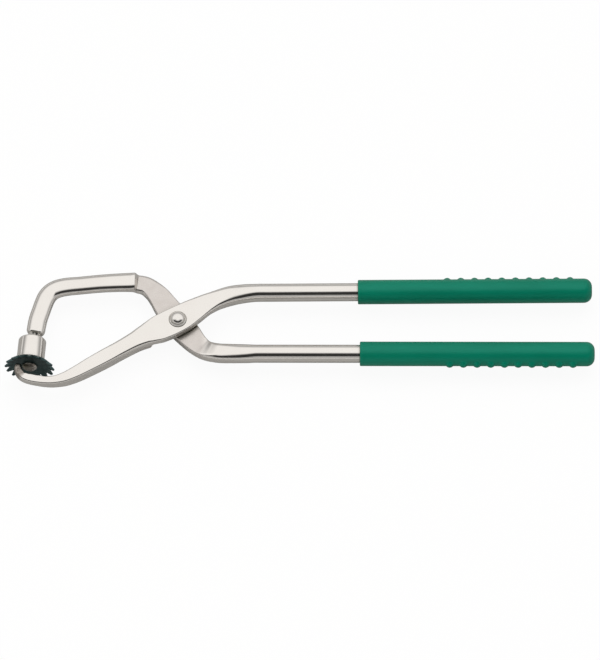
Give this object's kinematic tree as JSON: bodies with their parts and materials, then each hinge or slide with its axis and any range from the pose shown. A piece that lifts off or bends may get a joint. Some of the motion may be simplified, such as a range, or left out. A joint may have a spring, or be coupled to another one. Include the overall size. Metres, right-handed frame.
{
  "type": "brake spring pliers",
  "caption": "Long pliers with a C-shaped claw arm that carries a swivelling toothed disc, a hooked jaw that closes under the disc, a domed pivot rivet and nubbed green grips.",
  "frame": {"origin": "on the pivot axis, at the flush rear end of the pivot rivet, in the plane of the joint's rear face", "axes": "+X towards the grips, +Z along the pivot towards the rivet's domed head, +Y towards the claw arm's back"},
  "size_m": [0.3273, 0.0725, 0.0279],
  "materials": {
    "chrome": "polished nickel-chrome plate over forged steel, finely ground on the flat faces",
    "spring_steel": "plain turned steel, lightly oiled",
    "black_oxide": "black oxide on hardened sheet steel, satin",
    "green_vinyl": "dipped green vinyl, semi-matt"
  },
  "bodies": {
    "claw_lever": {"claw_lever": "chrome", "ball_stud": "chrome", "pivot_rivet": "chrome", "claw_lever_grip": "green_vinyl"},
    "hook_lever": {"hook_lever": "chrome", "hook_lever_grip": "green_vinyl"},
    "retaining_ring": {"retaining_ring": "spring_steel"},
    "ball_seat": {"ball_seat": "spring_steel"},
    "swivel_drum": {"swivel_drum": "chrome", "toothed_disc": "black_oxide", "disc_rivet": "chrome"}
  },
  "joints": [
    {"name": "lever_pivot", "type": "hinge", "parent": "claw_lever", "child": "hook_lever", "pos_m": [0, 0, 0.00485], "axis": [0, 0, 1], "range_deg": [0, 40]},
    {"name": "disc_tilt_in_plane", "type": "hinge", "parent": "claw_lever", "child": "retaining_ring", "pos_m": [-0.08095, -0.0153, 0.00485], "axis": [0, 0, 1], "range_deg": [-18, 4]},
    {"name": "disc_tilt_across", "type": "hinge", "parent": "retaining_ring", "child": "ball_seat", "pos_m": [-0.08095, -0.0153, 0.00485], "axis": [0.9963, -0.0854, 0], "range_deg": [-7, 7]},
    {"name": "disc_spin", "type": "hinge", "parent": "ball_seat", "child": "swivel_drum", "pos_m": [-0.08095, -0.0153, 0.00485], "axis": [0.0854, 0.9963, 0], "continuous": true}
  ]
}
